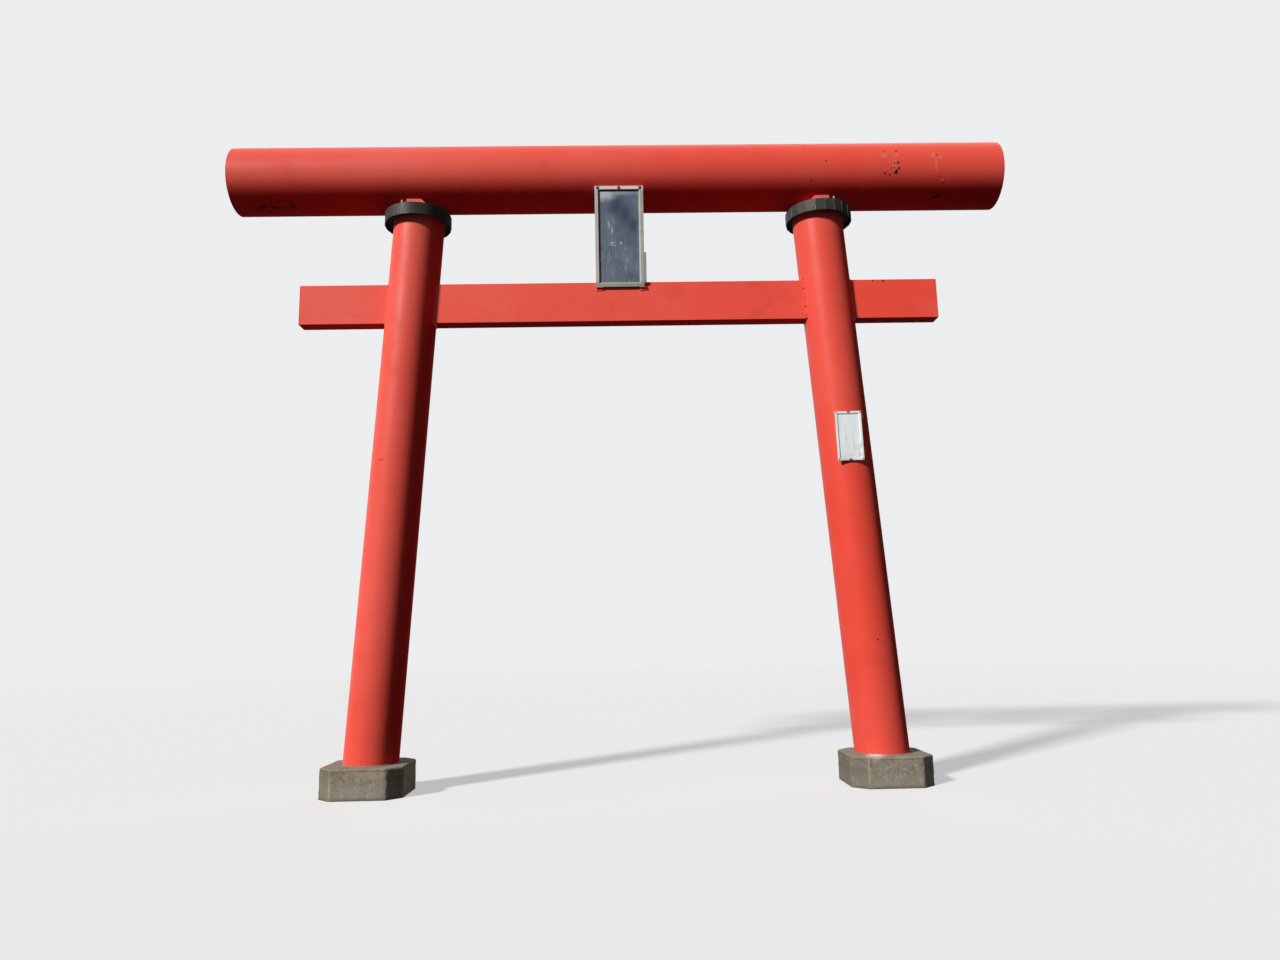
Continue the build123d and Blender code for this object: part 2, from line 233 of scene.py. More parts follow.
# Colours, as linear values; a pair is the two shades that a surface is mottled with
VERMILION = (0.80, 0.072, 0.045)
VERMILION_PAIR = (VERMILION, (0.84, 0.120, 0.090))
VERMILION_DEEP = (0.66, 0.045, 0.026)
# Painted shade of the vermilion, on the sides turned away from the key lamp
VERMILION_PAINTED_SHADE = (0.62, 0.022, 0.018)
SADDLE_PAIR = ((0.76, 0.150, 0.115),) * 2
# The tie beam's paint is lifted to stand in for the light on its flat front: painted light
TIE_PAINTED_LIGHT_GAIN = 1.11
RUST = (0.045, 0.014, 0.008)
RUST_BRIGHT = (0.50, 0.14, 0.03)
PIT = (0.095, 0.009, 0.005)
SCUFF = (0.42, 0.022, 0.014)
SOOT = (0.020, 0.012, 0.008)
CHALK = (0.66, 0.30, 0.20)
BLISTER = (0.58, 0.20, 0.14)
SCREW_STAIN = (0.030, 0.020, 0.014)

BLACK_PAIR = ((0.016, 0.015, 0.014), (0.032, 0.031, 0.028))
BLACK_SPECKLE = (0.070, 0.076, 0.064)
# Painted sheen of the black paint, on the side facing the key lamp
BLACK_PAINTED_SHEEN = (0.115, 0.110, 0.100)
BLACK_DUST = (0.15, 0.135, 0.11)
# Painted shade of the black paint, on the sides turned away from the key lamp
BLACK_PAINTED_SHADE = (0.004, 0.003, 0.003)
SEAM_PAIR = ((0.034, 0.033, 0.030), (0.25, 0.24, 0.215))
# Painted shade of the seams, on the sides turned away from the key lamp
SEAM_PAINTED_SHADE = (0.010, 0.009, 0.009)

CONCRETE_PAIR = ((0.205, 0.175, 0.130), (0.300, 0.264, 0.205))
CONCRETE_PALE_PATCH = (0.400, 0.365, 0.300)
CONCRETE_DARK_PATCH = (0.120, 0.100, 0.070)
CONCRETE_RUN = (0.110, 0.096, 0.072)
CONCRETE_PALE_GRAIN = (0.440, 0.400, 0.330)
CONCRETE_DARK_GRAIN = (0.100, 0.080, 0.054)
CONCRETE_FOOT = (0.360, 0.335, 0.285)
# Painted shadow line just below the footings' top edge
CONCRETE_PAINTED_SHADOW_LINE = (0.075, 0.064, 0.048)
# Painted shade on the footings' faces turned to the left
CONCRETE_PAINTED_SHADE_LEFT = (0.125, 0.108, 0.082)
CONCRETE_TOP = (0.300, 0.285, 0.245)
# Painted highlight on the footings' upright arrises
CONCRETE_ARRIS_HIGHLIGHT = (0.52, 0.49, 0.42)
# Painted patch of sunlight on a footing's top
CONCRETE_SUNLIT_PATCH = (0.80, 0.77, 0.70)
CONCRETE_DAMP = (0.085, 0.078, 0.062)
CONCRETE_GRIT = (0.48, 0.455, 0.40)

METAL_PAIR = ((0.36, 0.365, 0.33), (0.44, 0.445, 0.41))
METAL_SCRATCH = (0.60, 0.61, 0.57)
METAL_LEFT = (0.62, 0.53, 0.51)
METAL_TOP = (0.84, 0.70, 0.66)
METAL_FOOT = (0.235, 0.215, 0.190)
# Painted highlight on the frame's faces turned to the key lamp
METAL_PAINTED_HIGHLIGHT = (0.46, 0.50, 0.48)
# Painted shade on the frame's faces turned away from the key lamp
METAL_PAINTED_SHADE = (0.010, 0.011, 0.010)

SLATE_PAIR = ((0.095, 0.128, 0.186), (0.138, 0.173, 0.236))
SLATE_PATCH = (0.185, 0.225, 0.265)
SLATE_CLOUD = (0.034, 0.052, 0.096)
SLATE_CORNER = (0.060, 0.095, 0.120)
SLATE_PALE = (0.60, 0.65, 0.66)
SLATE_WISP = (0.46, 0.52, 0.58)
SLATE_SCRATCH = (0.60, 0.67, 0.74)
# Painted shadow of the frame on the panel
SLATE_PAINTED_SHADOW = (0.010, 0.012, 0.014)

WHITE_PAIR = ((0.90, 0.945, 0.98), (0.83, 0.875, 0.91))
GRIMY_PAIR = ((0.42, 0.33, 0.32), (0.35, 0.27, 0.26))
ENAMEL_SMEAR = (0.42, 0.50, 0.46)
ENAMEL_FOOT = (0.42, 0.40, 0.33)
ZINC_PAIR = ((0.52, 0.54, 0.54), (0.66, 0.67, 0.66))
ZINC_BLOOM = (0.82, 0.82, 0.79)
ZINC_OVERSPRAY = (0.82, 0.46, 0.40)
STEEL_PAIR = ((0.016, 0.015, 0.014), (0.060, 0.032, 0.018))


# Places on the gate, worked out from the frame


def middle(node):
    low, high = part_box(node)
    return (low + high) / 2


class Column:
    """Axis of one leaning column, from its footing and its level head."""

    def __init__(self, name):
        self.side = SIDES[name]
        low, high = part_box(f"{name}_column")
        self.radius = (high.y - low.y) / 2
        self.foot_x = middle(f"{name}_footing").x
        inner_edge = high.x if self.side < 0 else low.x
        head_x = inner_edge + self.side * self.radius
        self.lean = (self.foot_x - head_x) / high.z
        self.stretch = math.hypot(1, self.lean)

    def axis(self, height):
        return Vector((self.foot_x - self.lean * height, 0, height))

    def skin(self, height, degrees, out=0.0):
        """Point on the pipe's surface, at an angle from the front towards the viewer's right."""
        turn = math.radians(degrees)
        reach = self.radius + out
        offset = Vector((math.sin(turn) * reach * self.stretch, -math.cos(turn) * reach, 0))
        return self.axis(height) + offset


COLUMNS = {name: Column(name) for name in SIDES}
LINTEL_LOW, LINTEL_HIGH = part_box("lintel_pipe")
LINTEL_RADIUS = (LINTEL_HIGH.z - LINTEL_LOW.z) / 2
LINTEL_AXIS = (LINTEL_HIGH.z + LINTEL_LOW.z) / 2
LINTEL_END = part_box("right_lintel_cap")[1].x
TIE_LOW, TIE_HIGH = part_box("tie_beam")


def on_lintel(x, degrees, out=0.0):
    """Point on the lintel's surface, at an angle above the front."""
    turn = math.radians(degrees)
    reach = LINTEL_RADIUS + out
    return Vector((x, -math.cos(turn) * reach, LINTEL_AXIS + math.sin(turn) * reach))


def tie_height(share):
    """Height at a share of the tie beam's height from its top."""
    return TIE_HIGH.z + share * (TIE_LOW.z - TIE_HIGH.z)


def on_tie(x, share):
    """Point on the tie beam's front face."""
    return Vector((x, TIE_LOW.y, tie_height(share)))


def weld_point(column, outward, y, height):
    """Point where the tie beam's outline meets the pipe, on the side that outward tells."""
    reach = math.sqrt(column.radius**2 - y**2) * column.stretch
    return column.axis(height) + Vector((outward * reach, y, 0))


def marked(place, marks, scale=1.0):
    """The marks as (point, radius), each point found by the place function."""
    return [(place(first, second), radius * scale) for first, second, radius in marks]


def footing_cut(name):
    """How much the footing's corners are cut off, along each side."""
    low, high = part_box(f"{name}_footing")
    centre = (low + high) / 2
    points = [vertex.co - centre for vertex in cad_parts[f"{name}_footing"].data.vertices]
    return high.x - low.x - max(abs(point.x) + abs(point.y) for point in points)


# Node trees


def add_node(tree, kind, inputs=None, **settings):
    """A new node with these settings and input values."""
    node = tree.nodes.new(kind)
    for name, value in settings.items():
        setattr(node, name, value)
    for name, value in (inputs or {}).items():
        node.inputs[name].default_value = value
    return node


def blank_tree(owner):
    """The node tree of a material or world, emptied."""
    owner.use_nodes = True
    owner.node_tree.nodes.clear()
    return owner.node_tree


class Shader:
    """One material, with short calls that add nodes in the frame's own coordinates."""

    # Sockets of a Mix node that is set to colours
    SHARE, FIRST, SECOND, RESULT = 0, 6, 7, 2

    def __init__(self, name, roughness, metallic=0.0, specular=0.5):
        self.material = bpy.data.materials.new(name)
        self.tree = blank_tree(self.material)
        output = self.add("ShaderNodeOutputMaterial")
        values = {"Roughness": roughness, "Metallic": metallic, "Specular IOR Level": specular}
        self.surface = self.add("ShaderNodeBsdfPrincipled", values)
        self.link(self.surface.outputs[0], output.inputs["Surface"])
        self.place = self.add("ShaderNodeTexCoord").outputs["Object"]

    def add(self, kind, inputs=None, **settings):
        return add_node(self.tree, kind, inputs, **settings)

    def link(self, start, end):
        self.tree.links.new(start, end)

    def feed(self, socket, value):
        if isinstance(value, bpy.types.NodeSocket):
            self.link(value, socket)
        elif isinstance(value, tuple) and len(value) == 3 and socket.type == "RGBA":
            socket.default_value = (*value, 1.0)
        else:
            socket.default_value = value

    def math(self, operation, first, second=0.0, clamp=False):
        node = self.add("ShaderNodeMath", operation=operation, use_clamp=clamp)
        self.feed(node.inputs[0], first)
        self.feed(node.inputs[1], second)
        return node.outputs[0]

    def vector(self, operation, *values):
        node = self.add("ShaderNodeVectorMath", operation=operation)
        for socket, value in zip(node.inputs, values):
            self.feed(socket, value)
        return node.outputs["Value" if operation == "DISTANCE" else "Vector"]

    def stretched(self, scale, place=None):
        return self.vector("MULTIPLY", place or self.place, scale)

    def noise(
        self, scale, detail=4.0, roughness=0.55, stretch=None, distortion=0.0, output="Fac"
    ):
        values = dict(Scale=scale, Detail=detail, Roughness=roughness, Distortion=distortion)
        node = self.add("ShaderNodeTexNoise", values)
        self.link(self.stretched(stretch) if stretch else self.place, node.inputs["Vector"])
        return node.outputs[output]

    def cells(self, scale):
        """Cell pattern, with its distance and colour outputs."""
        node = self.add("ShaderNodeTexVoronoi", {"Scale": scale})
        self.link(self.place, node.inputs["Vector"])
        return node.outputs

    def step(self, value, low, high, start=0.0, end=1.0):
        """Smooth change from start to end as the value goes from low to high."""
        limits = {"From Min": low, "From Max": high, "To Min": start, "To Max": end}
        node = self.add("ShaderNodeMapRange", limits, interpolation_type="SMOOTHSTEP")
        self.feed(node.inputs["Value"], value)
        return node.outputs[0]

    def mix(self, share, first, second):
        node = self.add("ShaderNodeMix", data_type="RGBA")
        self.feed(node.inputs[self.SHARE], share)
        self.feed(node.inputs[self.FIRST], first)
        self.feed(node.inputs[self.SECOND], second)
        return node.outputs[self.RESULT]

    def cover(self, under, tint, share, most):
        """The colour under with a tint over it, where most scales the share."""
        return self.mix(self.math("MULTIPLY", share, most), under, tint)

    def layers(self, under, rows):
        """The colour under with tints over it: each row is tint, value, low, high, most."""
        for tint, value, low, high, most in rows:
            under = self.mix(self.step(value, low, high, 0.0, most), under, tint)
        return under

    def axis(self, letter, source=None):
        node = self.add("ShaderNodeSeparateXYZ")
        self.link(source or self.place, node.inputs[0])
        return node.outputs[letter]

    def normal_axis(self, letter):
        return self.axis(letter, self.add("ShaderNodeNewGeometry").outputs["Normal"])

    def facing_light(self):
        """Near 1 on the sides that face the key lamp, below 0 on those turned away; drives painted
        light and shade.
        """
        total = 0.0
        for letter, share in zip("XYZ", KEY_LIGHT_SIDE):
            total = self.math("ADD", self.math("MULTIPLY", self.normal_axis(letter), share), total)
        return total

    def ragged_place(self, scale, reach):
        """The place, shifted by noise, so that marks measured from it have ragged edges."""
        cloudy = self.noise(scale, detail=5.0, roughness=0.65, output="Color")
        centred = self.vector("SUBTRACT", cloudy, (0.5, 0.5, 0.5))
        return self.vector("MULTIPLY_ADD", centred, (reach, reach, reach), self.place)

    def spots(self, marks, place, softness):
        """1 inside round marks, each given as (point, radius), and 0 outside."""
        total = 0.0
        for point, radius in marks:
            apart = self.vector("DISTANCE", place, point)
            inside = self.step(apart, radius * (1 - softness), radius, 1.0, 0.0)
            total = self.math("MAXIMUM", inside, total)
        return total

    def ovals(self, marks, place, stretch, softness):
        """Like spots, but drawn out: a stretch under 1 makes the marks longer along that axis."""
        scaled = [(Vector(a * b for a, b in zip(spot, stretch)), radius) for spot, radius in marks]
        return self.spots(scaled, self.stretched(stretch, place), softness)

    def bump(self, height, distance, before=None, strength=1.0):
        node = self.add("ShaderNodeBump", {"Distance": distance, "Strength": strength})
        self.feed(node.inputs["Height"], height)
        if before is not None:
            self.link(before, node.inputs["Normal"])
        return node.outputs[0]

    def colour(self, value):
        self.feed(self.surface.inputs["Base Color"], value)

    def shine(self, value):
        self.feed(self.surface.inputs["Roughness"], value)

    def dull_shine(self, value, facing_light, low, high, most):
        """Roughness that rises on the sheltered sides, where less sky is mirrored."""
        sheltered = self.step(facing_light, low, high, most, 0.0)
        self.shine(self.math("ADD", value, sheltered, clamp=True))

    def relief(self, value):
        self.link(value, self.surface.inputs["Normal"])


# Materials


def vermilion(name, pits=(), blisters=(), stains=(), drips=(), scuffs=(), pair=VERMILION_PAIR):
    """Vermilion enamel, paler to the left and above, with marks at named places."""
    paint = Shader(name, roughness=0.4, specular=0.15)
    cloud = paint.noise(0.55, detail=3.0)
    patch = paint.noise(3.2, detail=6.0, roughness=0.6)
    streak = paint.noise(1.0, detail=5.0, roughness=0.6, stretch=(9.0, 9.0, 0.55))
    speck = paint.noise(38.0, detail=4.0, roughness=0.7)
    grain = paint.noise(95.0, detail=3.0)
    facing_light = paint.facing_light()
    leftward = paint.step(paint.axis("X"), LINTEL_END, -LINTEL_END, 0.0, 0.55)
    upward = paint.step(paint.axis("Z"), 0.0, LINTEL_AXIS, 0.0, 0.25)
    clouded = paint.step(cloud, 0.34, 0.68, -0.2, 0.25)
    paler_share = paint.math("ADD", paint.math("ADD", leftward, upward), clouded)
    colour = paint.mix(paint.math("MAXIMUM", paler_share, 0.0), *pair)
    colour = paint.layers(
        colour,
        [
            # Painted shade: deep red on the sides turned away from the key lamp
            (VERMILION_PAINTED_SHADE, facing_light, 0.30, -0.35, 1.0),
            (VERMILION_DEEP, patch, 0.52, 0.78, 0.35),
            (pair[1], streak, 0.55, 0.80, 0.25),
        ],
    )
    dusty = paint.step(paint.normal_axis("Z"), 0.45, 1.0, 0.0, 0.4)
    colour = paint.cover(colour, CHALK, dusty, paint.step(patch, 0.3, 0.7))
    rare = paint.math("MULTIPLY", paint.step(speck, 0.72, 0.77), paint.step(patch, 0.5, 0.62))
    colour = paint.cover(colour, RUST, rare, 0.6)
    shine = paint.step(patch, 0.3, 0.8, 0.38, 0.50)
    relief = paint.bump(grain, 0.0006)
    relief = paint.bump(paint.noise(1.9, detail=2.0), 0.008, relief, 0.5)
    ragged = paint.ragged_place(46.0, 0.03)
    if drips:
        runs = paint.ovals(drips, ragged, (1.0, 1.0, 0.12), 0.9)
        colour = paint.cover(colour, CHALK, runs, 0.3)
    if scuffs:
        colour = paint.cover(colour, SCUFF, paint.spots(scuffs, ragged, 0.6), 0.65)
    if stains:
        smudge = paint.ovals(stains, paint.ragged_place(34.0, 0.06), (0.65, 1.0, 1.0), 0.45)
        colour = paint.cover(colour, SOOT, smudge, paint.step(speck, 0.36, 0.50))
    if blisters:
        pale = paint.spots(blisters, ragged, 0.85)
        colour = paint.cover(colour, BLISTER, pale, paint.step(speck, 0.38, 0.55, 0.25, 0.75))
        relief = paint.bump(pale, 0.004, relief)
    if pits:
        halo = paint.spots([(point, radius * 1.7) for point, radius in pits], ragged, 0.7)
        colour = paint.cover(colour, RUST_BRIGHT, halo, 0.4)
        pit = paint.spots(pits, ragged, 0.4)
        colour = paint.mix(pit, colour, PIT)
        relief = paint.bump(paint.math("MULTIPLY", pit, -1.0), 0.005, relief)
        shine = paint.math("ADD", shine, paint.math("MULTIPLY", pit, 0.4))
    paint.dull_shine(shine, facing_light, -0.10, 0.30, 0.6)
    paint.colour(colour)
    paint.relief(relief)
    return paint.material


def black_paint():
    """Matt black paint, dusty on top, with painted sheen towards the key lamp and painted shade
    away from it.
    """
    paint = Shader("black_paint_weathered", roughness=0.52, specular=0.20)
    cloud = paint.noise(4.5, detail=5.0)
    fine = paint.noise(42.0, detail=4.0, roughness=0.65)
    facing_light = paint.facing_light()
    colour = paint.mix(paint.step(cloud, 0.35, 0.7), *BLACK_PAIR)
    # Painted sheen towards the key lamp and painted shade on the sides turned away from it
    colour = paint.layers(
        colour,
        [
            (BLACK_SPECKLE, fine, 0.55, 0.75, 0.4),
            (BLACK_PAINTED_SHEEN, facing_light, 0.38, 0.64, 0.24),
            (BLACK_DUST, paint.normal_axis("Z"), 0.4, 1.0, 0.5),
            (BLACK_PAINTED_SHADE, facing_light, 0.28, 0.06, 0.92),
        ],
    )
    paint.colour(colour)
    paint.dull_shine(paint.step(fine, 0.3, 0.7, 0.42, 0.58), facing_light, 0.0, 0.40, 0.5)
    paint.relief(paint.bump(fine, 0.0012))
    return paint.material


def worn_seam():
    """Weld seams on the collars, pale in patches, with painted shade on the sides turned from the
    key lamp.
    """
    paint = Shader("worn_seam", roughness=0.6, specular=0.4)
    fine = paint.noise(30.0, detail=4.0)
    colour = paint.mix(paint.step(fine, 0.4, 0.62), *SEAM_PAIR)
    # Painted shade on the sides turned away from the key lamp
    paint.colour(paint.layers(colour, [(SEAM_PAINTED_SHADE, paint.facing_light(), 0.34, 0.0, 0.8)]))
    paint.relief(paint.bump(fine, 0.001))
    return paint.material


def weld_paint():
    """Painted weld beads with rust breaking through."""
    paint = Shader("painted_weld", roughness=0.5, specular=0.4)
    patch = paint.noise(9.0, detail=5.0, roughness=0.7)
    fine = paint.noise(60.0, detail=4.0, roughness=0.7)
    colour = paint.mix(paint.step(patch, 0.4, 0.6), VERMILION, VERMILION_DEEP)
    rusty = paint.math("MULTIPLY", paint.step(patch, 0.52, 0.6), paint.step(fine, 0.48, 0.6))
    paint.colour(paint.cover(colour, RUST, rusty, 0.9))
    paint.relief(paint.bump(fine, 0.002))
    return paint.material


def arrises(stone):
    """1 on the upright arrises of both footings, where two faces of the block meet."""
    low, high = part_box("right_footing")
    half = (high.y - low.y) / 2
    flat = half - footing_cut("right")
    centre = ((low.x + high.x) / 2, 0.0, 0.0)
    both = stone.vector("ABSOLUTE", stone.place)
    quarter = stone.vector("ABSOLUTE", stone.vector("SUBTRACT", both, centre))
    plan = stone.stretched((1.0, 1.0, 0.0), quarter)
    corners = [Vector((flat, half, 0.0)), Vector((half, flat, 0.0))]
    return stone.spots([(corner, ARRIS_WIDTH) for corner in corners], plan, 0.5)


def concrete():
    """Weathered cast concrete: mottled, damp at the ground, with painted highlights, shadow, shade
    and sunlight.
    """
    stone = Shader("weathered_concrete", roughness=0.88, specular=0.25)
    cloud = stone.noise(3.2, detail=6.0, roughness=0.62)
    patch = stone.noise(13.0, detail=6.0, roughness=0.72, distortion=0.4)
    coarse = stone.noise(34.0, detail=3.0, roughness=0.6)
    fine = stone.noise(85.0, detail=4.0, roughness=0.7)
    runs = stone.noise(1.0, detail=5.0, roughness=0.65, stretch=(11.0, 11.0, 2.4))
    height = stone.axis("Z")
    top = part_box("right_footing")[1].z
    off_shadow_line = stone.math("ABSOLUTE", stone.math("SUBTRACT", height, top - SHADOW_LINE_DROP))
    colour = stone.mix(stone.step(cloud, 0.34, 0.68), *CONCRETE_PAIR)
    colour = stone.layers(
        colour,
        [
            (CONCRETE_PALE_PATCH, patch, 0.50, 0.70, 0.7),
            (CONCRETE_DARK_PATCH, patch, 0.46, 0.34, 0.45),
            (CONCRETE_RUN, runs, 0.54, 0.74, 0.35),
            (CONCRETE_PALE_GRAIN, coarse, 0.56, 0.68, 0.55),
            (CONCRETE_DARK_GRAIN, coarse, 0.44, 0.33, 0.55),
            (CONCRETE_FOOT, height, 0.55 * top, 0.30 * top, 0.35),
            # Painted shadow line just below the top edge
            (CONCRETE_PAINTED_SHADOW_LINE, off_shadow_line, SHADOW_LINE_WIDTH, 0.0, 0.55),
            # Painted shade on the faces turned to the left
            (CONCRETE_PAINTED_SHADE_LEFT, stone.normal_axis("X"), -0.35, -0.70, 0.5),
            (CONCRETE_TOP, stone.normal_axis("Z"), 0.5, 0.95, 0.5),
        ],
    )
    # Painted highlight on the upright arrises, patchy
    highlight_patchiness = stone.step(patch, 0.40, 0.56, 0.1, 0.4)
    colour = stone.cover(colour, CONCRETE_ARRIS_HIGHLIGHT, arrises(stone), highlight_patchiness)
    # Painted patch of sunlight on the right footing's top, at the column's foot
    sunlit_centre = COLUMNS["right"].skin(top, SUNLIT_PATCH_TURN, SUNLIT_PATCH_RADIUS / 2)
    sunlit_patch = stone.spots([(sunlit_centre, SUNLIT_PATCH_RADIUS)], stone.ragged_place(18.0, 0.10), 0.7)
    colour = stone.cover(colour, CONCRETE_SUNLIT_PATCH, sunlit_patch, 0.85)
    damp = stone.math("MULTIPLY", stone.step(height, 0.05, 0.0), stone.step(cloud, 0.3, 0.6))
    colour = stone.cover(colour, CONCRETE_DAMP, damp, 0.6)
    pebble = stone.step(stone.cells(70.0)["Distance"], 0.0, 0.32, 1.0, 0.0)
    shown = stone.math("MULTIPLY", pebble, stone.step(patch, 0.42, 0.6))
    colour = stone.cover(colour, CONCRETE_GRIT, shown, 0.28)
    stone.colour(colour)
    stone.relief(stone.bump(patch, 0.005, stone.bump(fine, 0.0025)))
    return stone.material


def tablet_metal():
    """Frame metal: paler and pinker left and at the top, darker at the foot, painted highlight and
    shade.
    """
    metal = Shader("tablet_frame_metal", roughness=0.5, metallic=0.15, specular=0.4)
    low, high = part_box("tablet_panel")
    cloud = metal.noise(7.0, detail=5.0)
    scratch = metal.noise(1.0, detail=4.0, stretch=(60.0, 60.0, 6.0))
    height = metal.axis("Z")
    facing_light = metal.facing_light()
    colour = metal.mix(metal.step(cloud, 0.35, 0.68), *METAL_PAIR)
    colour = metal.layers(
        colour,
        [
            (METAL_SCRATCH, scratch, 0.55, 0.75, 0.4),
            (METAL_LEFT, metal.axis("X"), high.x, low.x, 0.75),
            (METAL_TOP, height, high.z, high.z + 0.02, 0.9),
            (METAL_FOOT, height, low.z + 0.01, low.z - 0.01, 0.6),
            # Painted highlight towards the key lamp and painted shade on the faces turned away from
            # it
            (METAL_PAINTED_HIGHLIGHT, facing_light, 0.40, 0.50, 0.3),
            (METAL_PAINTED_SHADE, facing_light, 0.12, -0.12, 0.95),
        ],
    )
    screws_low, screws_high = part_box("tablet_screws")
    centre = middle("tablet_screws")
    radius = (screws_high.z - screws_low.z) / 2
    across = (screws_low.x + radius, centre.x, screws_high.x - radius)
    heads = [(Vector((x, centre.y, centre.z)), 2.0 * radius) for x in across]
    stained = metal.spots(heads, metal.ragged_place(60.0, 0.012), 0.4)
    metal.colour(metal.cover(colour, SCREW_STAIN, stained, 0.85))
    metal.dull_shine(metal.step(cloud, 0.3, 0.7, 0.42, 0.6), facing_light, -0.12, 0.12, 0.45)
    metal.relief(metal.bump(scratch, 0.0005))
    return metal.material


def slate_panel():
    """Blank glossy slate-blue panel: pale at top, cloudy, wispy, scratched, painted shadow at left
    and top.
    """
    panel = Shader("slate_panel", roughness=0.24, specular=0.4)
    low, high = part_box("tablet_panel")
    width = high.x - low.x

    def at(across, down):
        """Point on the panel at shares of its width from the left and its height from the top."""
        shares = (across, down, 1 - down)
        return Vector(start + part * (end - start) for start, end, part in zip(low, high, shares))

    cloud = panel.noise(3.0, detail=5.0)
    patch = panel.noise(11.0, detail=6.0, roughness=0.62, distortion=0.3)
    wisp = panel.noise(1.0, detail=6.0, roughness=0.7, stretch=(34.0, 12.0, 8.0), distortion=1.6)
    thread = panel.noise(1.0, detail=4.0, roughness=0.6, stretch=(75.0, 20.0, 4.0), distortion=0.4)
    soft = panel.ragged_place(14.0, 0.10)
    fine = panel.ragged_place(40.0, 0.03)
    rightward = panel.axis("X")
    height = panel.axis("Z")
    colour = panel.mix(panel.step(cloud, 0.36, 0.66), *SLATE_PAIR)
    colour = panel.layers(colour, [(SLATE_PATCH, patch, 0.50, 0.72, 0.5)])
    dark = panel.ovals(marked(at, PANEL_CLOUDS, width), soft, (1.0, 0.6, 0.7), 0.9)
    colour = panel.cover(colour, SLATE_CLOUD, dark, 0.95)
    corner = panel.ovals(marked(at, PANEL_DARK_CORNER, width), soft, (0.8, 0.6, 1.0), 0.9)
    colour = panel.cover(colour, SLATE_CORNER, corner, 0.6)
    upper = panel.step(height, at(0, 0.06).z, at(0, 0.02).z)
    leftward = panel.step(rightward, low.x, high.x, 0.75, 0.25)
    pale = panel.ovals(marked(at, PANEL_PALE_CORNER, width), soft, (0.8, 0.6, 1.5), 0.8)
    pale = panel.math("MAXIMUM", panel.math("MULTIPLY", upper, leftward), pale)
    colour = panel.cover(colour, SLATE_PALE, pale, 0.9)
    misty = panel.ovals(marked(at, PANEL_WISPS, width), soft, (1.0, 0.6, 0.55), 0.9)
    wisps = panel.math("MULTIPLY", misty, panel.step(wisp, 0.50, 0.64, 0.1, 0.8))
    below = panel.step(height, at(0, 0.40).z, at(0, 0.62).z, 0.0, 0.45)
    threads = panel.math("MULTIPLY", below, panel.step(thread, 0.52, 0.68))
    colour = panel.cover(colour, SLATE_WISP, panel.math("MAXIMUM", wisps, threads), 0.75)
    streaks = panel.ovals(marked(at, PANEL_STREAKS), fine, (1.0, 0.3, 0.30), 0.8)
    streaks = panel.math("MULTIPLY", streaks, panel.step(wisp, 0.42, 0.56, 0.2, 1.0))
    lines = panel.ovals(marked(at, PANEL_SCRATCHES), fine, (0.15, 0.3, 1.6), 0.7)
    dot = panel.spots(marked(at, PANEL_DOT), fine, 0.9)
    bright = panel.math("MAXIMUM", streaks, panel.math("MAXIMUM", lines, dot))
    colour = panel.cover(colour, SLATE_SCRATCH, bright, 0.85)
    # Painted shadow of the frame along the panel's left and top edges
    at_left = panel.step(rightward, low.x + PANEL_SHADOW_FADE, low.x + PANEL_SHADOW_WIDTH)
    at_top = panel.step(height, high.z - PANEL_SHADOW_FADE, high.z - PANEL_SHADOW_WIDTH)
    colour = panel.cover(colour, SLATE_PAINTED_SHADOW, panel.math("MAXIMUM", at_left, at_top), 0.9)
    panel.colour(colour)
    panel.shine(panel.step(patch, 0.3, 0.7, 0.18, 0.34))
    panel.relief(panel.bump(panel.noise(5.0, detail=2.0), 0.002, strength=0.4))
    return panel.material


def enamel(name, pair):
    """Enamel with grey-green smudges, stains at the plate's middle screws, grime at its foot."""
    plate = Shader(name, roughness=0.32, specular=0.5)
    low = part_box("name_plate")[0]
    cloud = plate.noise(6.0, detail=5.0)
    smear = plate.noise(1.0, detail=5.0, roughness=0.65, stretch=(22.0, 10.0, 5.0), distortion=0.8)
    colour = plate.mix(plate.step(cloud, 0.35, 0.7), *pair)
    colour = plate.layers(colour, [(ENAMEL_SMEAR, smear, 0.54, 0.68, 0.55)])
    fall = plate.step(plate.axis("Z"), low.z + 0.12, low.z, 0.0, 0.45)
    colour = plate.cover(colour, ENAMEL_FOOT, fall, plate.step(cloud, 0.3, 0.6))
    centre = middle("name_plate_screws")
    levels = [corner.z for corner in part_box("name_plate_screws")]
    heads = [(Vector((centre.x, centre.y, z)), PLATE_STAIN_RADIUS) for z in levels]
    stained = plate.spots(heads, plate.ragged_place(60.0, 0.012), 0.5)
    plate.colour(plate.cover(colour, SCREW_STAIN, stained, 0.85))
    plate.shine(plate.step(cloud, 0.3, 0.7, 0.28, 0.45))
    return plate.material


def zinc():
    """Dull galvanised steel with spangle, a little white bloom and red overspray."""
    metal = Shader("galvanised_steel", roughness=0.42, metallic=0.8)
    cloud = metal.noise(45.0, detail=4.0)
    colour = metal.mix(metal.cells(160.0)["Color"], *ZINC_PAIR)
    colour = metal.layers(colour, [(ZINC_BLOOM, cloud, 0.55, 0.7, 0.7)])
    metal.colour(metal.mix(metal.step(cloud, 0.30, 0.60, 0.3, 0.7), colour, ZINC_OVERSPRAY))
    metal.shine(metal.step(cloud, 0.3, 0.7, 0.36, 0.6))
    return metal.material


def dark_steel():
    """Dark painted steel with brown rust at the edges."""
    metal = Shader("dark_steel", roughness=0.5, metallic=0.3)
    cloud = metal.noise(30.0, detail=5.0, roughness=0.65)
    metal.colour(metal.mix(metal.step(cloud, 0.45, 0.66), *STEEL_PAIR))
    metal.shine(metal.step(cloud, 0.3, 0.7, 0.42, 0.68))
    metal.relief(metal.bump(cloud, 0.0008))
    return metal.material


